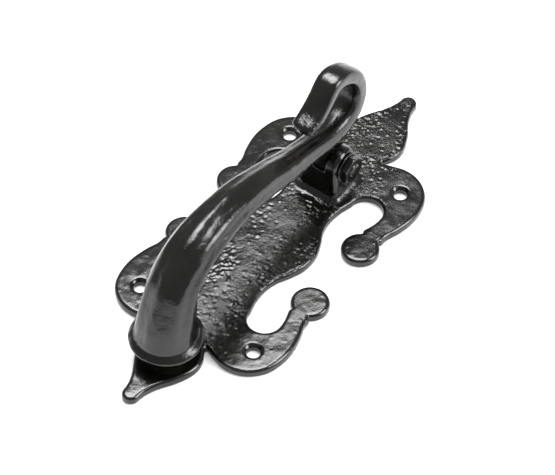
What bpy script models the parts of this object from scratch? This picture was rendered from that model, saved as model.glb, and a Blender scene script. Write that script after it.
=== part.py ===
"""Shepherd's-crook door knocker: a cast iron backplate with a hinged, crook-ended knocker arm.

Frame (metres, +Z up): X runs across the plate, Y along it towards the hinge end, Z out of the
door. The origin is the middle of the plate's flat back face. The knocker is drawn at rest, with
its foot on the strike pad.
"""
import math

import bmesh
import bpy
from mathutils import Vector

MM = 0.001

# ---- backplate ---------------------------------------------------------------------------
PLATE_T = 3.4 * MM              # thickness of the casting
PLATE_EDGE_R = 0.8 * MM         # soft top edge
LEAF_SHIFT = 1.6 * MM           # the leaves were cast a little to the right of the arms
TIP_Y = 86.7 * MM               # centre of the round leaf tip
TIP_R = 3.3 * MM
NOTCH = (10.6 * MM, 54.6 * MM)  # sharp corner between leaf and scroll arm
DISC_AT = (28.7 * MM, 15.8 * MM)
DISC_R = 7.2 * MM
GAP_AT = (20.0 * MM, 31.8 * MM)  # centre of the closed end of the C-shaped gap
GAP_R = 6.5 * MM
SCREW_AT = (25.6 * MM, 46.4 * MM)
SCREW_R = 2.5 * MM              # clearance for a 5 mm wood screw
SINK_R = 3.6 * MM               # countersink mouth
SINK_DEPTH = 1.1 * MM

# ---- hinge -------------------------------------------------------------------------------
PIVOT_Y = 34.9 * MM
PIVOT_Z = 17.6 * MM
CHEEK_R = 7.0 * MM              # rounded top of the cheeks
CHEEK_X = 8.4 * MM              # outer face of each cheek
SLOT_X = 3.5 * MM               # inner face of each cheek
SLOT_FLOOR_Z = 11.2 * MM
CHEEK_SOFT = 2.0 * MM           # rounding of each cheek's outer edge
FLARE = 3.2 * MM                # cast fillet round the cheeks' foot
BORE_R = 3.2 * MM
LUG_R = 6.0 * MM
SEAT_GAP = 0.4 * MM              # between the lug and the seat hollowed for it
LIP_DROP = 0.5 * MM              # top of the seat's front lip below the pivot
LUG_X = 3.1 * MM                # half thickness of the arm's lug

# ---- bolt, nut, washers ------------------------------------------------------------------
FIT = 0.3 * MM                  # working gap between separate pieces
BOLT_R = 2.9 * MM
WASHER_R = 6.0 * MM
WASHER_T = 0.7 * MM
NUT_FLATS = 10.0 * MM
NUT_T = 2.5 * MM
HEAD_R = 5.0 * MM
HEAD_T = 2.8 * MM
BOLT_PROUD = 0.7 * MM

# ---- strike pad and foot -----------------------------------------------------------------
FOOT_Y = -63.6 * MM
PAD_R = 6.6 * MM
PAD_H = 3.2 * MM
BOSS_R = 6.2 * MM
COLLAR_R = 13.7 * MM
COLLAR_LOW_Z = 9.6 * MM
COLLAR_HIGH_Z = 13.2 * MM

# ---- arm ---------------------------------------------------------------------------------
# Anchor sections from the foot to the crook's end: y, z, half width, half thickness (mm)
ARM_ANCHORS = (
    (-63.6, 13.4, 11.5, 11.5),
    (-63.0, 19.0, 11.1, 10.6),
    (-61.3, 26.0, 10.7, 9.2),
    (-58.4, 33.7, 10.1, 8.0),
    (-51.5, 40.2, 9.8, 7.6),
    (-41.0, 44.0, 9.3, 7.3),
    (-25.0, 44.6, 8.3, 6.7),
    (-9.0, 41.4, 7.3, 6.1),
    (8.0, 35.9, 6.4, 5.6),
    (21.0, 32.3, 5.5, 5.3), (32.0, 29.9, 5.3, 5.0), (42.0, 31.0, 5.2, 4.5),
    (48.4, 35.5, 5.1, 3.9), (50.5, 42.6, 5.0, 3.4), (47.6, 50.9, 4.9, 3.3),
    (40.8, 56.2, 4.8, 3.2), (34.6, 57.0, 4.8, 3.0), (29.5, 52.3, 4.8, 2.7),
    (24.6, 48.8, 4.8, 2.5), (19.8, 46.9, 4.7, 2.4),
)
STEPS_PER_SPAN = 5
RING_POINTS = 32
FACET_DEPTH = 0.035             # how strongly the hammered facets flatten the section
SQUARE_FROM, SQUARE_SPANS = 8.5, 4.0   # spans of the arm where it turns from faceted to a strap
SQUARE_POWER = 1.6              # how much squarer than an oval the strap is
CAP_LENGTH, CAP_BLUNT = 2.6 * MM, 0.6   # blunt rounded end of the crook
CAP_RINGS = 6

CIRCLE_POINTS = 40


def clear_scene():
    for thing in list(bpy.data.objects):
        bpy.data.objects.remove(thing, do_unlink=True)


def make_object(name, bm, material, smooth_angle=None):
    bmesh.ops.recalc_face_normals(bm, faces=bm.faces[:])
    mesh = bpy.data.meshes.new(name)
    bm.to_mesh(mesh)
    bm.free()
    thing = bpy.data.objects.new(name, mesh)
    bpy.context.scene.collection.objects.link(thing)
    if material is not None:
        thing.data.materials.append(material)
    for face in mesh.polygons:
        face.use_smooth = True
    if smooth_angle is not None:
        mesh.set_sharp_from_angle(angle=math.radians(smooth_angle))
    return thing


def iron(name, colour, roughness):
    material = bpy.data.materials.new(name)
    material.use_nodes = True
    shader = material.node_tree.nodes["Principled BSDF"]
    shader.inputs["Base Color"].default_value = (*colour, 1.0)
    shader.inputs["Roughness"].default_value = roughness
    shader.inputs["Metallic"].default_value = 0.0
    return material


def bake_modifiers(thing, helpers):
    """Turn the modifier result into the object's own mesh and drop the helper solids."""
    graph = bpy.context.evaluated_depsgraph_get()
    baked = bpy.data.meshes.new_from_object(thing.evaluated_get(graph))
    thing.modifiers.clear()
    thing.data = baked
    for helper in helpers:
        bpy.data.objects.remove(helper, do_unlink=True)


def boolean(thing, helper, operation):
    modifier = thing.modifiers.new(operation.lower(), "BOOLEAN")
    modifier.operation = operation
    modifier.solver = "EXACT"
    modifier.object = helper


# ---- small shape helpers -----------------------------------------------------------------

def arc(centre, radius, start, end, count):
    """Points on an arc; angles in degrees, both ends included."""
    points = []
    for i in range(count):
        angle = math.radians(start + (end - start) * i / (count - 1))
        points.append((centre[0] + radius * math.cos(angle),
                       centre[1] + radius * math.sin(angle)))
    return points


def smooth_curve(anchors, steps):
    """Catmull-Rom curve through anchor tuples of any length, both ends included."""
    first = [2 * a - b for a, b in zip(anchors[0], anchors[1])]
    last = [2 * a - b for a, b in zip(anchors[-1], anchors[-2])]
    padded = [first, *anchors, last]
    curve = []
    for k in range(1, len(padded) - 2):
        p0, p1, p2, p3 = padded[k - 1:k + 3]
        for i in range(steps):
            t = i / steps
            curve.append(tuple(
                0.5 * (2 * b + (c - a) * t + (2 * a - 5 * b + 4 * c - d) * t * t
                       + (3 * b - a - 3 * c + d) * t ** 3)
                for a, b, c, d in zip(p0, p1, p2, p3)))
    curve.append(tuple(anchors[-1]))
    return curve


def extrude_outline(bm, outline, low, high, place):
    """Prism from a closed outline. place(u, v, w) turns outline and height into a point."""
    bottom = [bm.verts.new(place(u, v, low)) for u, v in outline]
    top = [bm.verts.new(place(u, v, high)) for u, v in outline]
    bm.faces.new(bottom)
    bm.faces.new(top)
    rim = []
    for i in range(len(outline)):
        j = (i + 1) % len(outline)
        bm.faces.new((bottom[i], bottom[j], top[j], top[i]))
    for i in range(len(outline)):
        rim.append(bm.edges.get((top[i], top[(i + 1) % len(outline)])))
    return rim


def skin_rings(bm, rings, close_start=True, close_end=True):
    """Loft matching rings of points into a tube."""
    rows = [[bm.verts.new(p) for p in ring] for ring in rings]
    count = len(rows[0])
    for a, b in zip(rows[:-1], rows[1:]):
        for i in range(count):
            j = (i + 1) % count
            bm.faces.new((a[i], a[j], b[j], b[i]))
    if close_start:
        bm.faces.new(rows[0][::-1])
    if close_end:
        bm.faces.new(rows[-1])


def lathe_x(profile, hole_radius=None):
    """Solid of revolution about an X-parallel line through the pivot.

    profile is a list of (x, radius) from one end to the other. With hole_radius, the solid is a
    ring with that bore.
    """
    bm = bmesh.new()
    rings = []
    for x, radius in profile:
        rings.append([(x, PIVOT_Y + radius * math.cos(2 * math.pi * i / CIRCLE_POINTS),
                       PIVOT_Z + radius * math.sin(2 * math.pi * i / CIRCLE_POINTS))
                      for i in range(CIRCLE_POINTS)])
    if hole_radius is None:
        skin_rings(bm, rings)
        return bm
    for x in (profile[-1][0], profile[0][0]):
        rings.append([(x, PIVOT_Y + hole_radius * math.cos(2 * math.pi * i / CIRCLE_POINTS),
                       PIVOT_Z + hole_radius * math.sin(2 * math.pi * i / CIRCLE_POINTS))
                      for i in range(CIRCLE_POINTS)])
    rings.append(rings[0])
    skin_rings(bm, rings, False, False)
    bmesh.ops.remove_doubles(bm, verts=bm.verts[:], dist=1e-7)
    return bm


# ---- backplate ---------------------------------------------------------------------------

def quarter_outline():
    """Upper right quarter, from the middle of the side bulge to the top of the leaf tip."""
    mm = MM
    side = smooth_curve(((17.7 * mm, -5.0 * mm), (17.8 * mm, 0.0), (17.2 * mm, 5.0 * mm),
                         (15.2 * mm, 10.0 * mm), (12.9 * mm, 14.6 * mm), (11.7 * mm, 20.0 * mm),
                         (12.0 * mm, 26.0 * mm), (13.5 * mm, 31.8 * mm)), 4)[4:]
    gap = arc(GAP_AT, GAP_R, 172, 4, 14)
    inner = smooth_curve(((26.5 * mm, 31.0 * mm), (25.9 * mm, 27.6 * mm), (24.6 * mm, 23.6 * mm)),
                         3)[1:]
    disc = arc(DISC_AT, DISC_R, 118, 418, 26)
    outer = smooth_curve(((33.2 * mm, 23.0 * mm), (33.4 * mm, 26.0 * mm), (35.0 * mm, 30.6 * mm),
                          (36.3 * mm, 36.5 * mm), (36.4 * mm, 42.6 * mm), (34.8 * mm, 49.2 * mm),
                          (31.2 * mm, 54.0 * mm), (26.2 * mm, 56.9 * mm), (20.5 * mm, 57.6 * mm),
                          (14.9 * mm, 56.2 * mm), NOTCH), 4)
    leaf = smooth_curve(((9.4 * mm, 56.0 * mm), (11.4 * mm, 59.4 * mm), (12.3 * mm, 63.4 * mm),
                         (11.6 * mm, 67.8 * mm), (9.2 * mm, 73.2 * mm), (5.9 * mm, 78.4 * mm),
                         (4.0 * mm, 82.8 * mm), (TIP_R, TIP_Y - 0.8 * mm)), 4)
    tip = arc((0.0, TIP_Y), TIP_R, 8, 90, 7)
    leaf = [(x + LEAF_SHIFT, y) for x, y in leaf + tip]
    return side + gap + inner + disc + outer, leaf


def plate_outline():
    arms, leaf = quarter_outline()
    mirrored = [(2 * LEAF_SHIFT - x, y) for x, y in leaf]
    right = arms + leaf
    left = [(-x, y) for x, y in arms] + mirrored
    upper = right + left[-2::-1]
    lower = [(x, -y) for x, y in left[1:]] + [(x, -y) for x, y in right[-2:0:-1]]
    return upper + lower


def screw_cutter(x, y):
    bm = bmesh.new()
    rings = []
    for z, radius in ((-1.0 * MM, SCREW_R), (PLATE_T - SINK_DEPTH, SCREW_R), (PLATE_T, SINK_R),
                      (PLATE_T + 1.0 * MM, SINK_R)):
        rings.append([(x + radius * math.cos(2 * math.pi * i / CIRCLE_POINTS),
                       y + radius * math.sin(2 * math.pi * i / CIRCLE_POINTS), z)
                      for i in range(CIRCLE_POINTS)])
    skin_rings(bm, rings)
    return make_object("screw_cutter", bm, None)


def hinge_block():
    """The two cheeks as one solid block with softened ends, before the slot and bore are cut."""
    rings = []
    for x, shrink in ((-CHEEK_X, 1.0), (-CHEEK_X + 0.3 * CHEEK_SOFT, 0.3), (-CHEEK_X + CHEEK_SOFT, 0.0),
                      (CHEEK_X - CHEEK_SOFT, 0.0), (CHEEK_X - 0.3 * CHEEK_SOFT, 0.3), (CHEEK_X, 1.0)):
        radius = CHEEK_R - shrink * CHEEK_SOFT
        profile = [(PIVOT_Y - radius, 1.0 * MM), *arc((PIVOT_Y, PIVOT_Z), radius, 180, 0, 21),
                   (PIVOT_Y + radius, 1.0 * MM)]
        rings.append([(x, y, z) for y, z in profile])
    bm = bmesh.new()
    skin_rings(bm, rings)
    return make_object("hinge_block", bm, None)


def rounded_rectangle(half_x, half_y, radius, per_corner=5):
    points = []
    for sx, sy, start in ((1, 1, 0), (-1, 1, 90), (-1, -1, 180), (1, -1, 270)):
        points += arc((sx * (half_x - radius), sy * (half_y - radius)), radius,
                      start, start + 90, per_corner)
    return points


def hinge_flare():
    """Concave cast fillet between the cheeks and the plate."""
    bm = bmesh.new()
    rings = []
    levels = [(PLATE_T - 1.0 * MM, FLARE)]
    for i in range(7):
        angle = math.radians(90 * i / 6)
        levels.append((PLATE_T + FLARE * (1 - math.cos(angle)), FLARE * (1 - math.sin(angle))))
    levels.append((PLATE_T + FLARE + 1.0 * MM, 0.0))
    for z, spread in levels:
        corner = CHEEK_SOFT + spread
        rings.append([(x, PIVOT_Y + y, z) for x, y in
                      rounded_rectangle(CHEEK_X + spread, CHEEK_R + spread, corner)])
    skin_rings(bm, rings)
    return make_object("hinge_flare", bm, None)


def slot_cutters():
    """Open slot above and behind the pivot, and a round seat for the lug in front of it."""
    reach = CHEEK_R + FLARE + 2.0 * MM
    top = PIVOT_Z + 2 * CHEEK_R
    cutters = []
    for front, floor in ((-reach, PIVOT_Z - LIP_DROP), (0.0, SLOT_FLOOR_Z)):
        bm = bmesh.new()
        outline = [(-SLOT_X, PIVOT_Y + front), (SLOT_X, PIVOT_Y + front),
                   (SLOT_X, PIVOT_Y + reach), (-SLOT_X, PIVOT_Y + reach)]
        extrude_outline(bm, outline, floor, top, lambda u, v, w: (u, v, w))
        cutters.append(make_object("slot_cutter", bm, None))
    seat = LUG_R + SEAT_GAP
    cutters.append(make_object("seat_cutter", lathe_x([(-SLOT_X, seat), (SLOT_X, seat)]), None))
    return cutters


def bore_cutter(half_length):
    return make_object("bore_cutter", lathe_x([(-half_length, BORE_R), (half_length, BORE_R)]),
                       None)


def strike_pad():
    bm = bmesh.new()
    rings = []
    for z, radius in ((PLATE_T - 1.0 * MM, PAD_R + 1.2 * MM), (PLATE_T, PAD_R + 1.2 * MM),
                      (PLATE_T + 0.4 * MM, PAD_R + 0.5 * MM), (PLATE_T + 1.0 * MM, PAD_R + 0.1 * MM),
                      (PLATE_T + PAD_H - 0.7 * MM, PAD_R - 0.1 * MM),
                      (PLATE_T + PAD_H - 0.2 * MM, PAD_R - 0.4 * MM),
                      (PLATE_T + PAD_H, PAD_R - 1.0 * MM)):
        rings.append([(radius * math.cos(2 * math.pi * i / CIRCLE_POINTS),
                       FOOT_Y + radius * math.sin(2 * math.pi * i / CIRCLE_POINTS), z)
                      for i in range(CIRCLE_POINTS)])
    skin_rings(bm, rings)
    return make_object("strike_pad", bm, None)


def build_backplate():
    bm = bmesh.new()
    rim = extrude_outline(bm, plate_outline(), 0.0, PLATE_T, lambda u, v, w: (u, v, w))
    bmesh.ops.bevel(bm, geom=rim, offset=PLATE_EDGE_R, segments=2, profile=0.5, affect="EDGES",
                    clamp_overlap=True)
    plate = make_object("backplate", bm, iron("black_iron_hammered", (0.02, 0.02, 0.021), 0.42))
    unions = [hinge_flare(), hinge_block(), strike_pad()]
    for helper in unions:
        boolean(plate, helper, "UNION")
    cuts = [screw_cutter(sx * SCREW_AT[0], sy * SCREW_AT[1]) for sx in (1, -1) for sy in (1, -1)]
    cuts += [*slot_cutters(), bore_cutter(CHEEK_X + 2.0 * MM)]
    for helper in cuts:
        boolean(plate, helper, "DIFFERENCE")
    bake_modifiers(plate, unions + cuts)
    plate.data.set_sharp_from_angle(angle=math.radians(35))
    return plate


# ---- knocker arm -------------------------------------------------------------------------

def section_ring(centre, along, half_width, half_thick, facets=1.0, square=0.0):
    """Section in the plane square to the arm's run: softly eight-sided, or a rounded strap."""
    across = Vector((1.0, 0.0, 0.0))
    up = along.cross(across).normalized()
    power = 2.0 + SQUARE_POWER * square
    ring = []
    for i in range(RING_POINTS):
        angle = 2 * math.pi * i / RING_POINTS
        cosine, sine = math.cos(angle), math.sin(angle)
        flat = 1.0 - FACET_DEPTH * facets * (1.0 - math.cos(8 * angle)) / 2
        flat /= (abs(cosine) ** power + abs(sine) ** power) ** (1 / power)
        ring.append(centre + across * (half_width * flat * cosine)
                    + up * (half_thick * flat * sine))
    return ring


def foot_rings():
    """Boss, collar and groove below the first arm section, all round and level."""
    rings = []
    boss_low = PLATE_T + PAD_H + FIT
    underside = COLLAR_LOW_Z
    levels = (
        (boss_low, BOSS_R - 0.8 * MM), (boss_low + 0.3 * MM, BOSS_R - 0.2 * MM),
        (boss_low + 0.9 * MM, BOSS_R), (underside - 0.3 * MM, BOSS_R + 0.2 * MM),
        (underside, BOSS_R + 0.9 * MM), (underside, COLLAR_R - 1.1 * MM),
        (underside + 0.25 * MM, COLLAR_R - 0.35 * MM), (underside + 0.8 * MM, COLLAR_R),
        (underside + 1.5 * MM, COLLAR_R - 0.15 * MM), (underside + 2.4 * MM, COLLAR_R - 0.9 * MM),
        (underside + 3.0 * MM, COLLAR_R - 1.7 * MM), (COLLAR_HIGH_Z, 11.5 * MM),
    )
    up = Vector((0.0, 0.0, 1.0))
    for z, radius in levels:
        rings.append(section_ring(Vector((0.0, FOOT_Y, z)), up, radius, radius, 0.0))
    return rings


def arm_rings():
    curve = smooth_curve(ARM_ANCHORS, STEPS_PER_SPAN)
    rings = []
    for k, (y, z, wide, thick) in enumerate(curve):
        before = curve[max(k - 1, 0)]
        after = curve[min(k + 1, len(curve) - 1)]
        along = Vector((0.0, after[0] - before[0], after[1] - before[1])).normalized()
        if k == 0:
            along = Vector((0.0, 0.0, 1.0))
        span = k / STEPS_PER_SPAN
        square = min(1.0, max(0.0, (span - SQUARE_FROM) / SQUARE_SPANS))
        facets = min(1.0, span / 2.0) * (1.0 - square)
        rings.append(section_ring(Vector((0.0, y, z)) * MM, along, wide * MM, thick * MM, facets,
                                  square))
    end = Vector((0.0, curve[-1][0], curve[-1][1])) * MM
    wide, thick = curve[-1][2] * MM, curve[-1][3] * MM
    for i in range(1, CAP_RINGS):
        angle = math.radians(90 * i / CAP_RINGS)
        shrink = math.cos(angle) ** CAP_BLUNT
        rings.append(section_ring(end + along * (CAP_LENGTH * math.sin(angle)), along,
                                  wide * shrink, thick * shrink, 0.0, math.cos(angle)))
    return rings


def hinge_lug():
    """Tab under the neck, round about the pivot."""
    profile = arc((PIVOT_Y, PIVOT_Z), LUG_R, 190, 350, 17)
    profile += [(PIVOT_Y + 5.6 * MM, 29.0 * MM), (PIVOT_Y - 6.0 * MM, 29.6 * MM)]
    bm = bmesh.new()
    extrude_outline(bm, profile, -LUG_X, LUG_X, lambda u, v, w: (w, u, v))
    return make_object("hinge_lug", bm, None)


def build_arm():
    bm = bmesh.new()
    skin_rings(bm, foot_rings() + arm_rings())
    arm = make_object("knocker_arm", bm, iron("black_iron_smooth", (0.018, 0.018, 0.019), 0.3))
    helpers = [hinge_lug(), bore_cutter(CHEEK_X)]
    boolean(arm, helpers[0], "UNION")
    boolean(arm, helpers[1], "DIFFERENCE")
    bake_modifiers(arm, helpers)
    arm.data.set_sharp_from_angle(angle=math.radians(40))
    pivot = Vector((0.0, PIVOT_Y, PIVOT_Z))
    for vertex in arm.data.vertices:
        vertex.co -= pivot
    arm.location = pivot
    return arm


# ---- bolt, nut, washers ------------------------------------------------------------------

def build_washer(name, side):
    near = side * (CHEEK_X + FIT)
    far = side * (CHEEK_X + FIT + WASHER_T)
    edge = side * 0.15 * MM
    bm = lathe_x([(near, WASHER_R - 0.15 * MM), (near + edge, WASHER_R), (far - edge, WASHER_R),
                  (far, WASHER_R - 0.15 * MM)], BORE_R)
    return make_object(name, bm, iron(name + "_finish", (0.022, 0.022, 0.023), 0.36), 35)


def build_nut():
    """Hexagon nut, chamfered on its outer face, bored for the bolt."""
    inner_x = CHEEK_X + 2 * FIT + WASHER_T
    outer_x = inner_x + NUT_T
    bm = bmesh.new()
    corner = NUT_FLATS / 2 / math.cos(math.pi / 6)
    chamfer = corner - NUT_FLATS / 2
    rings = []
    for x, cut in ((inner_x, 0.0), (outer_x - 0.75 * chamfer, 0.0), (outer_x, chamfer)):
        ring = []
        for i in range(CIRCLE_POINTS + 8):
            angle = 2 * math.pi * i / (CIRCLE_POINTS + 8)
            folded = angle % (math.pi / 3) - math.pi / 6
            radius = min(NUT_FLATS / 2 / math.cos(folded), corner - cut)
            ring.append((x, PIVOT_Y + radius * math.sin(angle), PIVOT_Z + radius * math.cos(angle)))
        rings.append(ring)
    for x in (outer_x, inner_x):
        rings.append([(x, PIVOT_Y + BORE_R * math.sin(2 * math.pi * i / (CIRCLE_POINTS + 8)),
                       PIVOT_Z + BORE_R * math.cos(2 * math.pi * i / (CIRCLE_POINTS + 8)))
                      for i in range(CIRCLE_POINTS + 8)])
    rings.append(rings[0])
    skin_rings(bm, rings, False, False)
    bmesh.ops.remove_doubles(bm, verts=bm.verts[:], dist=1e-7)
    return make_object("pivot_nut", bm, iron("nut_finish", (0.02, 0.02, 0.02), 0.33), 35)


def build_bolt():
    """Round-headed bolt: head on the far side, shank through the cheeks, rounded end."""
    head_in = -(CHEEK_X + 2 * FIT + WASHER_T)
    shank_end = CHEEK_X + 2 * FIT + WASHER_T + NUT_T + BOLT_PROUD
    profile = []
    for i in range(6):
        angle = math.radians(90 * (1 - i / 6))
        profile.append((head_in - HEAD_T * math.sin(angle),
                        max(HEAD_R * math.cos(angle), 0.6 * MM)))
    profile += [(head_in - 0.3 * MM, HEAD_R), (head_in, HEAD_R - 0.2 * MM), (head_in, BOLT_R),
                (shank_end - 0.8 * MM, BOLT_R), (shank_end - 0.3 * MM, BOLT_R - 0.5 * MM),
                (shank_end, BOLT_R - 1.4 * MM)]
    bm = lathe_x(profile)
    return make_object("pivot_bolt", bm, iron("bolt_finish", (0.02, 0.02, 0.02), 0.33), 35)


clear_scene()
build_backplate()
build_arm()
build_bolt()
build_washer("washer_nut_side", 1)
build_washer("washer_head_side", -1)
build_nut()
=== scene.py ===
import math

import bmesh
import bpy
import numpy as np
from mathutils import Matrix, Vector


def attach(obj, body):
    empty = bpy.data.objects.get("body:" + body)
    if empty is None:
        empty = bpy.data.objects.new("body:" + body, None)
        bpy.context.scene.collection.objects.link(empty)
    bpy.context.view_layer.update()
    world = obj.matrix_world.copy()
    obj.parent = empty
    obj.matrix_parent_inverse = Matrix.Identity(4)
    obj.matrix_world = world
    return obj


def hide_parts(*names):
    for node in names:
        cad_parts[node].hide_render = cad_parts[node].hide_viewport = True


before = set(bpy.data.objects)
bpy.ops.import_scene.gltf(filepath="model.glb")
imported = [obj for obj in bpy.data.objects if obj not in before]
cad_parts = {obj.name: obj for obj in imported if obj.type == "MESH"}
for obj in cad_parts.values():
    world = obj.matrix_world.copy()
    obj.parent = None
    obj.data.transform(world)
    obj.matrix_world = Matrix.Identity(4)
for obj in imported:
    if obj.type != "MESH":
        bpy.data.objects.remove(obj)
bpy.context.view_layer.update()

MM = 0.001

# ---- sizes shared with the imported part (metres) --------------------------------------------
PLATE_T = 3.4 * MM
LEAF_SHIFT = 1.6 * MM
TIP_Y, TIP_R = 86.7 * MM, 3.3 * MM
NOTCH = (10.6 * MM, 54.6 * MM)
DISC_AT, DISC_R = (28.7 * MM, 15.8 * MM), 7.2 * MM
GAP_AT, GAP_R = (20.0 * MM, 31.8 * MM), 6.5 * MM
SCREW_AT, SCREW_R, SINK_R, SINK_DEPTH = (25.6 * MM, 46.4 * MM), 2.5 * MM, 3.6 * MM, 1.1 * MM
PIVOT_Y, PIVOT_Z = 34.9 * MM, 17.6 * MM
CHEEK_R, CHEEK_X, CHEEK_SOFT, FLARE = 7.0 * MM, 8.4 * MM, 2.0 * MM, 3.2 * MM
SLOT_X, SLOT_FLOOR_Z = 3.5 * MM, 11.2 * MM
BORE_R, LUG_R, LUG_X = 3.2 * MM, 6.0 * MM, 3.1 * MM
SEAT_GAP, LIP_DROP = 0.4 * MM, 0.5 * MM
FIT, BOLT_R, WASHER_R, WASHER_T = 0.3 * MM, 2.9 * MM, 6.0 * MM, 0.7 * MM
NUT_FLATS, NUT_T, HEAD_R, HEAD_T, BOLT_PROUD = 10.0 * MM, 2.5 * MM, 5.0 * MM, 2.8 * MM, 0.7 * MM
FOOT_Y, PAD_R, PAD_H, BOSS_R = -63.6 * MM, 6.6 * MM, 3.2 * MM, 6.2 * MM
COLLAR_R, COLLAR_LOW_Z, COLLAR_HIGH_Z = 13.7 * MM, 9.6 * MM, 13.2 * MM

# Anchor sections of the arm from the foot to the crook's end: y, z, half width, half thickness (mm)
ARM_ANCHORS = (
    (-63.6, 13.4, 11.5, 11.5), (-63.0, 19.0, 11.1, 10.6), (-61.3, 26.0, 10.7, 9.2),
    (-58.4, 33.7, 10.1, 8.0), (-51.5, 40.2, 9.8, 7.6), (-41.0, 44.0, 9.3, 7.3),
    (-25.0, 44.6, 8.3, 6.7), (-9.0, 41.4, 7.3, 6.1), (8.0, 35.9, 6.4, 5.6),
    (21.0, 32.3, 5.5, 5.3), (32.0, 29.9, 5.3, 5.0), (42.0, 31.0, 5.2, 4.5),
    (48.4, 35.5, 5.1, 3.9), (50.5, 42.6, 5.0, 3.4), (47.6, 50.9, 4.9, 3.3),
    (40.8, 56.2, 4.8, 3.2), (34.6, 57.0, 4.8, 3.0), (29.5, 52.3, 4.8, 2.7),
    (24.6, 48.8, 4.8, 2.5), (19.8, 46.9, 4.7, 2.4),
)

# ---- detail settings -------------------------------------------------------------------------
VOXEL = 0.36 * MM
ARM_STEPS = 26
ARM_POINTS = 112
FACET_DEPTH = 0.06
EDGE_DROP, EDGE_RUN = 1.2 * MM, 1.35 * MM
SQUARE_FROM, SQUARE_SPANS, SQUARE_POWER = 8.5, 4.0, 1.6
CAP_LENGTH, CAP_BLUNT = 2.6 * MM, 0.6
ROUND_POINTS = 72


# ---- noise -----------------------------------------------------------------------------------

def hashed(ix, iy, iz, seed):
    h = (ix * 374761393 + iy * 668265263 + iz * 1440670441 + seed * 974711) & 0xFFFFFFFF
    h = ((h ^ (h >> 13)) * 1274126177) & 0xFFFFFFFF
    h = ((h ^ (h >> 15)) * 2246822519) & 0xFFFFFFFF
    return h ^ (h >> 16)


def gradient_noise(points, size, seed):
    """Smooth noise of about -1..1 whose features are size across."""
    p = points / size
    cell = np.floor(p).astype(np.int64)
    f = p - cell
    w = f * f * f * (f * (f * 6 - 15) + 10)
    total = np.zeros(len(p))
    for dx in (0, 1):
        for dy in (0, 1):
            for dz in (0, 1):
                h = hashed(cell[:, 0] + dx, cell[:, 1] + dy, cell[:, 2] + dz, seed)
                gx = (h & 1023) / 511.5 - 1
                gy = ((h >> 10) & 1023) / 511.5 - 1
                gz = ((h >> 20) & 1023) / 511.5 - 1
                dot = gx * (f[:, 0] - dx) + gy * (f[:, 1] - dy) + gz * (f[:, 2] - dz)
                total += (dot * (w[:, 0] if dx else 1 - w[:, 0])
                          * (w[:, 1] if dy else 1 - w[:, 1]) * (w[:, 2] if dz else 1 - w[:, 2]))
    return total * 1.5


def cell_noise(points, size, seed):
    """Distance to the nearest of scattered points, in cell sizes."""
    p = points / size
    cell = np.floor(p).astype(np.int64)
    nearest = np.full(len(p), np.inf)
    for dx in (-1, 0, 1):
        for dy in (-1, 0, 1):
            for dz in (-1, 0, 1):
                c = cell + np.array((dx, dy, dz))
                h = hashed(c[:, 0], c[:, 1], c[:, 2], seed)
                spot = c + np.stack(((h & 1023), ((h >> 10) & 1023), ((h >> 20) & 1023)), 1) / 1023
                nearest = np.minimum(nearest, np.linalg.norm(p - spot, axis=1))
    return nearest


# ---- mesh helpers ----------------------------------------------------------------------------

def arc(centre, radius, start, end, count):
    """Points on an arc; start and end in degrees, both included."""
    points = []
    for i in range(count):
        angle = math.radians(start + (end - start) * i / (count - 1))
        points.append((centre[0] + radius * math.cos(angle), centre[1] + radius * math.sin(angle)))
    return points


def smooth_curve(anchors, steps):
    """Catmull-Rom curve through anchor tuples of any length, both ends included."""
    first = [2 * a - b for a, b in zip(anchors[0], anchors[1])]
    last = [2 * a - b for a, b in zip(anchors[-1], anchors[-2])]
    padded = [first, *anchors, last]
    curve = []
    for k in range(1, len(padded) - 2):
        p0, p1, p2, p3 = padded[k - 1:k + 3]
        for i in range(steps):
            t = i / steps
            curve.append(tuple(
                0.5 * (2 * b + (c - a) * t + (2 * a - 5 * b + 4 * c - d) * t * t
                       + (3 * b - a - 3 * c + d) * t ** 3)
                for a, b, c, d in zip(p0, p1, p2, p3)))
    curve.append(tuple(anchors[-1]))
    return curve


def finish_mesh(name, bm, material, smooth=True):
    bmesh.ops.recalc_face_normals(bm, faces=bm.faces[:])
    mesh = bpy.data.meshes.new(name)
    bm.to_mesh(mesh)
    bm.free()
    piece = bpy.data.objects.new(name, mesh)
    bpy.context.scene.collection.objects.link(piece)
    if material is not None:
        mesh.materials.append(material)
    for face in mesh.polygons:
        face.use_smooth = smooth
    return piece


def skin(bm, rings, close=True):
    rows = [[bm.verts.new(p) for p in ring] for ring in rings]
    count = len(rows[0])
    for a, b in zip(rows[:-1], rows[1:]):
        for i in range(count):
            j = (i + 1) % count
            bm.faces.new((a[i], a[j], b[j], b[i]))
    if close:
        bm.faces.new(rows[0][::-1])
        bm.faces.new(rows[-1])
    else:
        for i in range(count):
            j = (i + 1) % count
            bm.faces.new((rows[-1][i], rows[-1][j], rows[0][j], rows[0][i]))


def prism(name, outline, low, high, place):
    bm = bmesh.new()
    skin(bm, [[place(u, v, low) for u, v in outline], [place(u, v, high) for u, v in outline]])
    return finish_mesh(name, bm, None, False)


def bake_modifiers(piece, helpers=()):
    graph = bpy.context.evaluated_depsgraph_get()
    baked = bpy.data.meshes.new_from_object(piece.evaluated_get(graph))
    piece.modifiers.clear()
    old = piece.data
    piece.data = baked
    bpy.data.meshes.remove(old)
    for helper in helpers:
        bpy.data.objects.remove(helper, do_unlink=True)


def boolean(piece, helper, operation):
    modifier = piece.modifiers.new("solid", "BOOLEAN")
    modifier.operation = operation
    modifier.solver = "EXACT"
    modifier.object = helper


def vertex_arrays(mesh):
    co = np.zeros(len(mesh.vertices) * 3)
    no = np.zeros(len(mesh.vertices) * 3)
    mesh.vertices.foreach_get("co", co)
    mesh.vertex_normals.foreach_get("vector", no)
    return co.reshape(-1, 3), no.reshape(-1, 3)


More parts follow.
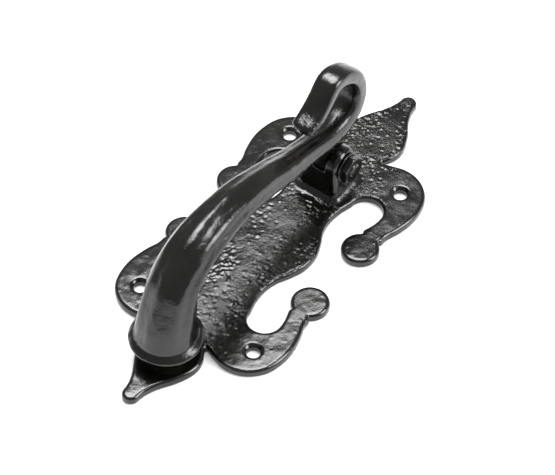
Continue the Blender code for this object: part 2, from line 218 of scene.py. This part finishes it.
def put_vertices(mesh, co):
    mesh.vertices.foreach_set("co", co.astype(np.float32).ravel())
    mesh.update()


def edge_falloff(x, low, high):
    t = np.clip((x - low) / (high - low), 0, 1)
    return t * t * (3 - 2 * t)


# ---- materials -------------------------------------------------------------------------------

def node(tree, kind, **settings):
    made = tree.nodes.new(kind)
    for key, value in settings.items():
        setattr(made, key, value)
    return made


def noise_node(tree, coords, scale, detail, roughness=0.5):
    n = node(tree, "ShaderNodeTexNoise")
    n.inputs["Scale"].default_value = scale
    n.inputs["Detail"].default_value = detail
    n.inputs["Roughness"].default_value = roughness
    tree.links.new(coords, n.inputs["Vector"])
    return n.outputs["Fac"]


def ramp_node(tree, fac, low, high, a, b):
    n = node(tree, "ShaderNodeMapRange")
    for socket, value in zip(("From Min", "From Max", "To Min", "To Max"), (low, high, a, b)):
        n.inputs[socket].default_value = value
    tree.links.new(fac, n.inputs["Value"])
    return n.outputs["Result"]


def math_node(tree, operation, a, b=None):
    n = node(tree, "ShaderNodeMath", operation=operation)
    for socket, value in zip(n.inputs, (a, b)):
        if isinstance(value, (int, float)):
            socket.default_value = value
        elif value is not None:
            tree.links.new(value, socket)
    return n.outputs["Value"]


PAINT_DARK, PAINT_DUSTY = (0.0014, 0.0013, 0.0011, 1), (0.0062, 0.0058, 0.0050, 1)
PITTED_ROUGHNESS_SHIFT = (-0.06, 0.0)
IRON_IOR = 1.5


def black_iron(name, rough, grain, grain_size, pitted=0.0, pit_size=0.9 * MM):
    """Black paint over cast iron: fine grain, uneven gloss, faintly dusty thin spots.

    pitted adds a coarser skin over the middle of the plate, which fades out on its arms."""
    material = bpy.data.materials.new(name)
    material.use_nodes = True
    tree = material.node_tree
    shader = tree.nodes["Principled BSDF"]
    coords = node(tree, "ShaderNodeTexCoord").outputs["Object"]
    fine = noise_node(tree, coords, 1.0 / grain_size, 3.0, 0.6)
    broad = noise_node(tree, coords, 110.0, 4.0, 0.55)
    mix = node(tree, "ShaderNodeMix", data_type="RGBA")
    mix.inputs["A"].default_value = PAINT_DARK
    mix.inputs["B"].default_value = PAINT_DUSTY
    tree.links.new(ramp_node(tree, broad, 0.35, 0.75, 0.0, 1.0), mix.inputs["Factor"])
    tree.links.new(mix.outputs["Result"], shader.inputs["Base Color"])
    gloss = ramp_node(tree, broad, 0.3, 0.7, rough[0], rough[1])
    height = math_node(tree, "MULTIPLY", fine, grain)
    if pitted:
        split = node(tree, "ShaderNodeSeparateXYZ")
        tree.links.new(coords, split.inputs["Vector"])
        across = math_node(tree, "ABSOLUTE", split.outputs["X"])
        middle = ramp_node(tree, across, 23 * MM, 13 * MM, 0.15, 1.0)
        for axis, clear, full in (("Z", 6.0 * MM, 4.2 * MM), ("Y", -62 * MM, -54 * MM)):
            middle = math_node(tree, "MULTIPLY", middle,
                               ramp_node(tree, split.outputs[axis], clear, full, 0.1, 1.0))
        skin_noise = noise_node(tree, coords, 1.0 / pit_size, 4.0, 0.65)
        patch = ramp_node(tree, noise_node(tree, coords, 90.0, 1.0), 0.35, 0.6, 0.35, 1.0)
        weight = math_node(tree, "MULTIPLY", middle, patch)
        pits = math_node(tree, "MULTIPLY", math_node(tree, "MULTIPLY", skin_noise, weight), pitted)
        height = math_node(tree, "ADD", height, pits)
        shift = ramp_node(tree, noise_node(tree, coords, 800.0, 2.0), 0.4, 0.62,
                          *PITTED_ROUGHNESS_SHIFT)
        spread = math_node(tree, "MULTIPLY", shift, middle)
        gloss = math_node(tree, "ADD", gloss, spread)
    tree.links.new(gloss, shader.inputs["Roughness"])
    bump = node(tree, "ShaderNodeBump")
    bump.inputs["Strength"].default_value = 1.0
    bump.inputs["Distance"].default_value = 1.0
    tree.links.new(height, bump.inputs["Height"])
    tree.links.new(bump.outputs["Normal"], shader.inputs["Normal"])
    shader.inputs["IOR"].default_value = IRON_IOR
    return material


FLOOR_GREYS = ((0.72, 0.72, 0.72, 1), (0.76, 0.76, 0.76, 1))
FLOOR_GLOW = 0.3


def floor_material():
    material = bpy.data.materials.new("studio_paper")
    material.use_nodes = True
    tree = material.node_tree
    shader = tree.nodes["Principled BSDF"]
    coords = node(tree, "ShaderNodeTexCoord").outputs["Object"]
    mix = node(tree, "ShaderNodeMix", data_type="RGBA")
    mix.inputs["A"].default_value, mix.inputs["B"].default_value = FLOOR_GREYS
    tree.links.new(noise_node(tree, coords, 6.0, 2.0), mix.inputs["Factor"])
    tree.links.new(mix.outputs["Result"], shader.inputs["Base Color"])
    shader.inputs["Roughness"].default_value = 0.9
    shader.inputs["Emission Color"].default_value = (1.0, 1.0, 1.0, 1)
    shader.inputs["Emission Strength"].default_value = FLOOR_GLOW
    shader.inputs["Specular IOR Level"].default_value = 0.0
    return material


# ---- backplate -------------------------------------------------------------------------------

def in_mm(*points):
    return [(x * MM, y * MM) for x, y in points]


def plate_outline():
    side = smooth_curve(in_mm((17.7, -5.0), (17.8, 0.0), (17.2, 5.0), (15.2, 10.0), (12.9, 14.6),
                              (11.7, 20.0), (12.0, 26.0), (13.5, 31.8)), 10)[10:]
    gap = arc(GAP_AT, GAP_R, 172, 4, 34)
    inner = smooth_curve(in_mm((26.5, 31.0), (25.9, 27.6), (24.6, 23.6)), 7)[1:]
    disc = arc(DISC_AT, DISC_R, 118, 418, 66)
    outer = smooth_curve(in_mm((33.2, 23.0), (33.4, 26.0), (35.0, 30.6), (36.3, 36.5),
                               (36.4, 42.6), (34.8, 49.2), (31.2, 54.0), (26.2, 56.9),
                               (20.5, 57.6), (14.9, 56.2)) + [NOTCH], 11)
    leaf = smooth_curve(in_mm((9.4, 56.0), (11.4, 59.4), (12.3, 63.4), (11.6, 67.8), (9.2, 73.2),
                              (5.9, 78.4), (4.0, 82.8)) + [(TIP_R, TIP_Y - 0.8 * MM)], 10)
    tip = arc((0.0, TIP_Y), TIP_R, 8, 90, 14)
    arms = side + gap + inner + disc + outer
    leaf = leaf + tip
    right = arms + [(x + LEAF_SHIFT, y) for x, y in leaf]
    left = [(-x, y) for x, y in arms] + [(LEAF_SHIFT - x, y) for x, y in leaf]
    upper = right + left[-2::-1]
    lower = [(x, -y) for x, y in left[1:]] + [(x, -y) for x, y in right[-2:0:-1]]
    return upper + lower


def round_rings(cx, cy, levels, count=ROUND_POINTS):
    return [[(cx + r * math.cos(2 * math.pi * i / count), cy + r * math.sin(2 * math.pi * i / count),
              z) for i in range(count)] for z, r in levels]


def vertical_solid(name, cx, cy, levels):
    bm = bmesh.new()
    skin(bm, round_rings(cx, cy, levels))
    return finish_mesh(name, bm, None, False)


def cross_cylinder(name, radius, half_length):
    outline = arc((PIVOT_Y, PIVOT_Z), radius, 0, 360 - 360 / ROUND_POINTS, ROUND_POINTS)
    return prism(name, outline, -half_length, half_length, lambda u, v, w: (w, u, v))


def rounded_rectangle(half_x, half_y, radius, per_corner=7):
    points = []
    for sx, sy, start in ((1, 1, 0), (-1, 1, 90), (-1, -1, 180), (1, -1, 270)):
        points += arc((sx * (half_x - radius), sy * (half_y - radius)), radius,
                      start, start + 90, per_corner)
    return points


def hinge_block():
    steps = [(1 - math.sin(math.radians(15 * i)), 1 - math.cos(math.radians(15 * i)))
             for i in range(7)]
    ends = [(run * CHEEK_SOFT, drop * CHEEK_SOFT) for drop, run in steps]
    rings = []
    for x, shrink in ([(run - CHEEK_X, drop) for run, drop in ends]
                      + [(CHEEK_X - run, drop) for run, drop in ends[::-1]]):
        radius = CHEEK_R - shrink
        rings.append([(x, PIVOT_Y - radius, 1.0 * MM)]
                     + [(x, y, z) for y, z in arc((PIVOT_Y, PIVOT_Z), radius, 180, 0, 41)]
                     + [(x, PIVOT_Y + radius, 1.0 * MM)])
    bm = bmesh.new()
    skin(bm, rings)
    return finish_mesh("hinge_block", bm, None, False)


def hinge_flare():
    levels = [(PLATE_T - 1.0 * MM, FLARE)]
    for i in range(13):
        angle = math.radians(90 * i / 12)
        levels.append((PLATE_T + FLARE * (1 - math.cos(angle)), FLARE * (1 - math.sin(angle))))
    levels.append((PLATE_T + FLARE + 1.0 * MM, 0.0))
    rings = [[(x, PIVOT_Y + y, z) for x, y in
              rounded_rectangle(CHEEK_X + spread, CHEEK_R + spread, CHEEK_SOFT + spread)]
             for z, spread in levels]
    bm = bmesh.new()
    skin(bm, rings)
    return finish_mesh("hinge_flare", bm, None, False)


def inset(outline, distance):
    """The outline moved inwards by distance, with the directions eased round its tight corners."""
    points = np.array(outline)
    edge = np.roll(points, -1, 0) - points
    edge /= np.linalg.norm(edge, axis=1)[:, None]
    inward = np.stack((-edge[:, 1], edge[:, 0]), 1)
    inward = inward + np.roll(inward, 1, 0)
    for _ in range(6):
        inward = (np.roll(inward, 1, 0) + 2 * inward + np.roll(inward, -1, 0)) / 4
    inward /= np.linalg.norm(inward, axis=1)[:, None]
    return [tuple(p) for p in points + inward * distance]


def build_plate(material):
    outline = plate_outline()
    levels = [(0.0, 0.25 * MM), (0.3 * MM, 0.0), (PLATE_T - EDGE_DROP, 0.0)]
    for i in range(1, 7):
        angle = math.radians(15 * i)
        levels.append((PLATE_T - EDGE_DROP * (1 - math.sin(angle)),
                       EDGE_RUN * (1 - math.cos(angle))))
    bm = bmesh.new()
    skin(bm, [[(x, y, z) for x, y in inset(outline, depth)] for z, depth in levels])
    plate = finish_mesh("hammered_backplate", bm, None, False)
    unions = [hinge_flare(),
              hinge_block(),
              vertical_solid("pad", 0.0, FOOT_Y, (
                  (PLATE_T - 1.0 * MM, PAD_R + 1.2 * MM), (PLATE_T, PAD_R + 1.2 * MM),
                  (PLATE_T + 0.4 * MM, PAD_R + 0.5 * MM), (PLATE_T + 1.0 * MM, PAD_R + 0.1 * MM),
                  (PLATE_T + PAD_H - 0.7 * MM, PAD_R - 0.1 * MM),
                  (PLATE_T + PAD_H - 0.2 * MM, PAD_R - 0.4 * MM),
                  (PLATE_T + PAD_H, PAD_R - 1.0 * MM)))]
    cuts = [vertical_solid("screw", sx * SCREW_AT[0], sy * SCREW_AT[1], (
        (-1.0 * MM, SCREW_R), (PLATE_T - SINK_DEPTH, SCREW_R), (PLATE_T, SINK_R),
        (PLATE_T + 1.0 * MM, SINK_R + 1.0 * MM))) for sx in (1, -1) for sy in (1, -1)]
    reach = CHEEK_R + FLARE + 2.0 * MM
    for front, floor in ((-reach, PIVOT_Z - LIP_DROP), (0.0, SLOT_FLOOR_Z)):
        cuts.append(prism("slot", [(-SLOT_X, PIVOT_Y + front), (SLOT_X, PIVOT_Y + front),
                                   (SLOT_X, PIVOT_Y + reach), (-SLOT_X, PIVOT_Y + reach)],
                          floor, PIVOT_Z + 2 * CHEEK_R, lambda u, v, w: (u, v, w)))
    cuts.append(cross_cylinder("seat", LUG_R + SEAT_GAP, SLOT_X))
    cuts.append(cross_cylinder("bore", BORE_R, CHEEK_X + 2.0 * MM))
    for helper in unions:
        boolean(plate, helper, "UNION")
    for helper in cuts:
        boolean(plate, helper, "DIFFERENCE")
    bake_modifiers(plate, unions + cuts)
    voxel = plate.modifiers.new("skin", "REMESH")
    voxel.mode = "VOXEL"
    voxel.voxel_size = VOXEL
    relax = plate.modifiers.new("relax", "SMOOTH")
    relax.factor, relax.iterations = 0.5, 4
    bake_modifiers(plate)
    hammer_plate(plate.data)
    plate.data.materials.append(material)
    for face in plate.data.polygons:
        face.use_smooth = True
    return plate


# Depth in mm of each kind of mark, on the body and leaves and on the scroll arms and discs
BODY_BROAD, BODY_MEDIUM, BODY_SMALL, BODY_TINY = 0.12, 0.05, 0.11, 0.13
BODY_DIMPLE, BODY_BUMP, BODY_PIT = 0.13, 0.18, 0.13
DISC_BROAD, DISC_MEDIUM, DISC_SMALL, DISC_BUMP = 0.13, 0.05, 0.015, 0.04
FLANK_RELIEF, FLANK_GRAIN, HINGE_RELIEF = 0.08, 0.03, 0.05


def hammer_plate(mesh):
    """Hammer marks and casting pits: strongest on the body and leaves, faint on arms and discs."""
    co, no = vertex_arrays(mesh)
    x, y, z = co.T
    flat = np.stack((x, y, z * 0.5), 1)
    up = edge_falloff(no[:, 2], 0.3, 0.95) * edge_falloff(z, 2.0 * MM, PLATE_T)
    side = np.clip(1 - np.abs(no[:, 2]), 0, 1)
    body = (1 - edge_falloff(np.abs(x), 13 * MM, 22 * MM)) * edge_falloff(y, -64 * MM, -54 * MM)
    low_ground = 1 - edge_falloff(z, PLATE_T + 0.6 * MM, PLATE_T + 3.0 * MM)
    warp = np.stack([gradient_noise(flat, 3.0 * MM, s) for s in (11, 12, 13)], 1) * 0.7 * MM
    patch = edge_falloff(gradient_noise(flat, 10.0 * MM, 71), -0.1, 0.4) * 0.9 + 0.1
    near = cell_noise(flat + warp, 2.1 * MM, 21)
    dimple = -np.clip(0.5 - near, 0, 1) / 0.5
    pit_near = cell_noise(flat + warp * 0.6, 2.9 * MM, 22)
    pit = -edge_falloff(0.30 - pit_near, 0.0, 0.16)
    bump_near = cell_noise(flat + warp * 0.6, 3.7 * MM, 23)
    bump = edge_falloff(0.26 - bump_near, 0.0, 0.2)
    broad = gradient_noise(flat, 9.0 * MM, 31)
    medium = gradient_noise(flat + warp, 3.2 * MM, 34)
    small = gradient_noise(flat + warp, 1.5 * MM, 32)
    tiny = gradient_noise(flat + warp * 0.5, 0.9 * MM, 33)
    strong = (BODY_BROAD * broad + BODY_MEDIUM * medium
              + patch * (BODY_SMALL * small + BODY_TINY * tiny)
              + BODY_DIMPLE * patch * dimple + BODY_BUMP * bump + BODY_PIT * pit) * MM
    faint = (DISC_BROAD * broad + DISC_MEDIUM * medium + DISC_SMALL * small
             + DISC_BUMP * bump) * MM
    lift = up * low_ground * (body * strong + (1 - body) * faint)
    lift += side * (FLANK_RELIEF * gradient_noise(co, 4.0 * MM, 51)
                    + FLANK_GRAIN * gradient_noise(co, 1.6 * MM, 52)) * MM
    lift += (1 - low_ground) * up * HINGE_RELIEF * gradient_noise(co, 2.5 * MM, 53) * MM
    lift *= edge_falloff(z, 0.2 * MM, 1.0 * MM)
    put_vertices(mesh, co + no * lift[:, None])


# ---- knocker arm -----------------------------------------------------------------------------

def section_ring(centre, along, half_width, half_thick, facets=1.0, square=0.0):
    across = Vector((1.0, 0.0, 0.0))
    up = along.cross(across).normalized()
    power = 2.0 + SQUARE_POWER * square
    ring = []
    for i in range(ARM_POINTS):
        angle = 2 * math.pi * i / ARM_POINTS
        cosine, sine = math.cos(angle), math.sin(angle)
        flat = 1.0 - FACET_DEPTH * facets * (1.0 - math.cos(8 * angle)) / 2
        flat /= (abs(cosine) ** power + abs(sine) ** power) ** (1 / power)
        ring.append(centre + across * (half_width * flat * cosine)
                    + up * (half_thick * flat * sine))
    return ring


def foot_rings():
    boss_low = PLATE_T + PAD_H + FIT
    under = COLLAR_LOW_Z
    profile = [(boss_low, 0.5 * MM), (boss_low, BOSS_R - 0.8 * MM),
               (boss_low + 0.3 * MM, BOSS_R - 0.2 * MM), (boss_low + 0.9 * MM, BOSS_R),
               (under - 0.3 * MM, BOSS_R + 0.2 * MM), (under, BOSS_R + 0.9 * MM),
               (under, COLLAR_R - 1.3 * MM)]
    rim = smooth_curve(((under, COLLAR_R - 1.1 * MM), (under + 0.25 * MM, COLLAR_R - 0.35 * MM),
                        (under + 0.8 * MM, COLLAR_R), (under + 1.5 * MM, COLLAR_R - 0.15 * MM),
                        (under + 2.4 * MM, COLLAR_R - 0.9 * MM),
                        (under + 3.0 * MM, COLLAR_R - 1.7 * MM),
                        (COLLAR_HIGH_Z, 11.5 * MM)), 6)[:-1]
    up = Vector((0.0, 0.0, 1.0))
    return [section_ring(Vector((0.0, FOOT_Y, z)), up, r, r, 0.0) for z, r in profile + rim]


def arm_rings():
    curve = smooth_curve(ARM_ANCHORS, ARM_STEPS)
    rings = []
    for k, (y, z, wide, thick) in enumerate(curve):
        before = curve[max(k - 1, 0)]
        after = curve[min(k + 1, len(curve) - 1)]
        along = Vector((0.0, after[0] - before[0], after[1] - before[1])).normalized()
        if k == 0:
            along = Vector((0.0, 0.0, 1.0))
        span = k / ARM_STEPS
        square = min(1.0, max(0.0, (span - SQUARE_FROM) / SQUARE_SPANS))
        facets = min(1.0, span / 2.0) * (1.0 - square)
        rings.append(section_ring(Vector((0.0, y, z)) * MM, along, wide * MM, thick * MM, facets,
                                  square))
    end = Vector((0.0, curve[-1][0], curve[-1][1])) * MM
    wide, thick = curve[-1][2] * MM, curve[-1][3] * MM
    cap = 14
    for i in range(1, cap):
        angle = math.radians(90 * i / cap)
        shrink = math.cos(angle) ** CAP_BLUNT
        rings.append(section_ring(end + along * (CAP_LENGTH * math.sin(angle)), along,
                                  wide * shrink, thick * shrink, 0.0, math.cos(angle)))
    return rings


# Marks drawn out along the arm: depth in mm, size, seed; then the fine grain over them
ARM_MARKS = ((0.20, 6.5 * MM, 61), (0.13, 2.8 * MM, 62), (0.08, 1.4 * MM, 63))
ARM_GRAIN, ARM_STRETCH = 0.04, (1.0, 0.38, 0.38)
LUG_TOP = ((5.6 * MM, 29.0 * MM), (-6.0 * MM, 29.6 * MM))


def build_arm(material):
    bm = bmesh.new()
    skin(bm, foot_rings() + arm_rings())
    arm = finish_mesh("crook_knocker_arm", bm, None)
    co, no = vertex_arrays(arm.data)
    z = co[:, 2]
    stretched = co * np.array(ARM_STRETCH)
    plain = 1 - edge_falloff(co[:, 1], 0.0, 40 * MM) * 0.4
    clear = edge_falloff(z, COLLAR_LOW_Z, COLLAR_LOW_Z + 1.0 * MM)
    marks = sum(depth * gradient_noise(stretched, size, seed) for depth, size, seed in ARM_MARKS)
    lift = clear * plain * (marks + ARM_GRAIN * gradient_noise(co, 0.9 * MM, 64)) * MM
    put_vertices(arm.data, co + no * lift[:, None])
    profile = arc((PIVOT_Y, PIVOT_Z), LUG_R, 190, 350, 33)
    profile += [(PIVOT_Y + y, z) for y, z in LUG_TOP]
    lug = prism("lug", profile, -LUG_X, LUG_X, lambda u, v, w: (w, u, v))
    bore = cross_cylinder("lug_bore", BORE_R, CHEEK_X)
    boolean(lug, bore, "DIFFERENCE")
    bake_modifiers(lug, [bore])
    for face in lug.data.polygons:
        face.use_smooth = False
    join_into(arm, lug)
    arm.data.materials.clear()
    arm.data.materials.append(material)
    return arm


def join_into(piece, other):
    bm = bmesh.new()
    bm.from_mesh(piece.data)
    bm.from_mesh(other.data)
    bm.to_mesh(piece.data)
    bm.free()
    bpy.data.objects.remove(other, do_unlink=True)


# ---- bolt, nut, washers ----------------------------------------------------------------------

def turned(name, profile, material, bore=None, squash=None):
    """Solid of revolution about the pivot; profile is (x, radius). bore makes it a ring."""
    rings = []
    for x, radius in profile:
        ring = []
        for i in range(ROUND_POINTS):
            angle = 2 * math.pi * i / ROUND_POINTS
            r = radius if squash is None else squash(angle, radius)
            ring.append((x, PIVOT_Y + r * math.sin(angle), PIVOT_Z + r * math.cos(angle)))
        rings.append(ring)
    bm = bmesh.new()
    if bore is None:
        skin(bm, rings)
    else:
        for x in (profile[-1][0], profile[0][0]):
            rings.append([(x, PIVOT_Y + bore * math.sin(2 * math.pi * i / ROUND_POINTS),
                           PIVOT_Z + bore * math.cos(2 * math.pi * i / ROUND_POINTS))
                          for i in range(ROUND_POINTS)])
        skin(bm, rings, close=False)
    piece = finish_mesh(name, bm, material)
    piece.data.set_sharp_from_angle(angle=math.radians(40))
    return piece


def build_washer(name, side, material):
    near, far = side * (CHEEK_X + FIT), side * (CHEEK_X + FIT + WASHER_T)
    soft = side * 0.12 * MM
    return turned(name, [(near, WASHER_R - 0.2 * MM), (near + soft, WASHER_R - 0.05 * MM),
                         (near + 2 * soft, WASHER_R), (far - 2 * soft, WASHER_R),
                         (far - soft, WASHER_R - 0.05 * MM), (far, WASHER_R - 0.2 * MM)],
                  material, BORE_R)


def build_nut(material):
    inner = CHEEK_X + 2 * FIT + WASHER_T
    outer = inner + NUT_T
    corner = NUT_FLATS / 2 / math.cos(math.pi / 6)

    def hexagon(angle, limit):
        folded = angle % (math.pi / 3) - math.pi / 6
        return min(NUT_FLATS / 2 / math.cos(folded), limit)

    profile = [(inner, corner - 0.3 * MM), (inner + 0.15 * MM, corner)]
    profile += [(outer - 0.6 * MM, corner), (outer - 0.4 * MM, corner - 0.15 * MM),
                (outer - 0.15 * MM, corner - 0.5 * MM), (outer, corner - 0.9 * MM),
                (outer, corner - 1.4 * MM)]
    return turned("pivot_hex_nut", profile, material, BORE_R, hexagon)


def build_bolt(material):
    head_in = -(CHEEK_X + 2 * FIT + WASHER_T)
    shank_end = CHEEK_X + 2 * FIT + WASHER_T + NUT_T + BOLT_PROUD
    profile = []
    steps = 12
    for i in range(steps):
        angle = math.radians(90 * (1 - i / steps))
        profile.append((head_in - HEAD_T * math.sin(angle),
                        max(HEAD_R * math.cos(angle), 0.3 * MM)))
    profile += [(head_in - 0.3 * MM, HEAD_R), (head_in, HEAD_R - 0.2 * MM), (head_in, BOLT_R),
                (shank_end - 0.9 * MM, BOLT_R), (shank_end - 0.5 * MM, BOLT_R - 0.25 * MM),
                (shank_end - 0.2 * MM, BOLT_R - 0.7 * MM), (shank_end, BOLT_R - 1.6 * MM)]
    return turned("pivot_bolt_round_head", profile, material)


# ---- build the pieces ------------------------------------------------------------------------

iron_hammered = black_iron("black_iron_hammered", (0.14, 0.22), 0.03 * MM, 0.7 * MM, 0.11 * MM)
iron_smooth = black_iron("black_iron_smooth", (0.12, 0.24), 0.09 * MM, 0.8 * MM)
steel_black = black_iron("black_bolt_steel", (0.20, 0.32), 0.03 * MM, 0.8 * MM)

plate = build_plate(iron_hammered)
arm = build_arm(iron_smooth)
bolt = build_bolt(steel_black)
nut = build_nut(steel_black)
washer_near = build_washer("nut_side_washer", 1, steel_black)
washer_far = build_washer("head_side_washer", -1, steel_black)

for piece, body, cad_node, slot in (
        (plate, "plate", "backplate", "plate_iron"),
        (arm, "arm", "knocker_arm", "arm_iron"),
        (bolt, "plate", "pivot_bolt", "bolt_steel"),
        (nut, "plate", "pivot_nut", "bolt_steel"),
        (washer_near, "plate", "washer_nut_side", "washer_steel"),
        (washer_far, "plate", "washer_head_side", "washer_steel")):
    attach(piece, body)
    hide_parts(cad_node)

# ---- studio ----------------------------------------------------------------------------------

FLOOR_HALF = 2.5
WORLD_STRENGTH = 0.42
# Name, bearing and height in degrees, distance, width and height in metres, radiance
SOFTBOXES = (("overhead_softbox", -52, 71, 1.3, 0.70, 0.70, 17.0),
             ("side_softbox", 68, 33, 1.3, 0.55, 1.0, 13.0))


def build_floor():
    bm = bmesh.new()
    corners = [bm.verts.new((x, y, 0.0)) for x, y in
               ((-FLOOR_HALF, -FLOOR_HALF), (FLOOR_HALF, -FLOOR_HALF),
                (FLOOR_HALF, FLOOR_HALF), (-FLOOR_HALF, FLOOR_HALF))]
    bm.faces.new(corners)
    floor = finish_mesh("studio_floor", bm, floor_material())
    floor.location.z = -0.02 * MM


def softbox(name, bearing, height, distance, wide, tall, radiance):
    """Rectangular light seen from the object at a bearing from +Y towards +X, both in degrees."""
    light = bpy.data.lights.new(name, "AREA")
    light.shape = "RECTANGLE"
    light.size, light.size_y = wide, tall
    light.energy = radiance * math.pi * wide * tall
    lamp = bpy.data.objects.new(name, light)
    bpy.context.scene.collection.objects.link(lamp)
    b, h = math.radians(bearing), math.radians(height)
    towards = Vector((math.sin(b) * math.cos(h), math.cos(b) * math.cos(h), math.sin(h)))
    lamp.location = towards * distance
    lamp.rotation_euler = towards.to_track_quat("Z", "Y").to_euler()


def build_studio():
    build_floor()
    for settings in SOFTBOXES:
        softbox(*settings)
    world = bpy.data.worlds.new("studio")
    world.use_nodes = True
    world.node_tree.nodes["Background"].inputs["Color"].default_value = (1.0, 1.0, 1.0, 1)
    world.node_tree.nodes["Background"].inputs["Strength"].default_value = WORLD_STRENGTH
    bpy.context.scene.world = world
    bpy.context.scene.view_settings.view_transform = "Standard"


# The viewing angle: azimuth from -Y towards +X, elevation and roll in degrees, then the distance
CAMERA_AZIMUTH, CAMERA_ELEVATION, CAMERA_ROLL = 36.04, 49.72, 0.11
CAMERA_DISTANCE = 1.0257
CAMERA_TARGET = Vector((-0.35 * MM, 3.85 * MM, 0.0))
LENS_MM, SENSOR_MM = 179.2, 36.0


def build_camera():
    data = bpy.data.cameras.new("photo_camera")
    data.lens, data.sensor_width = LENS_MM, SENSOR_MM
    camera = bpy.data.objects.new("photo_camera", data)
    bpy.context.scene.collection.objects.link(camera)
    azimuth, elevation = math.radians(CAMERA_AZIMUTH), math.radians(CAMERA_ELEVATION)
    back = Vector((math.sin(azimuth) * math.cos(elevation),
                   -math.cos(azimuth) * math.cos(elevation), math.sin(elevation)))
    level = Vector((math.cos(azimuth), math.sin(azimuth), 0.0))
    roll = math.radians(CAMERA_ROLL)
    right = level * math.cos(roll) + back.cross(level) * math.sin(roll)
    up = back.cross(right)
    at = CAMERA_TARGET + back * CAMERA_DISTANCE
    camera.matrix_world = Matrix((
        (right.x, up.x, back.x, at.x),
        (right.y, up.y, back.y, at.y),
        (right.z, up.z, back.z, at.z),
        (0.0, 0.0, 0.0, 1.0)))
    bpy.context.scene.camera = camera


build_studio()
build_camera()
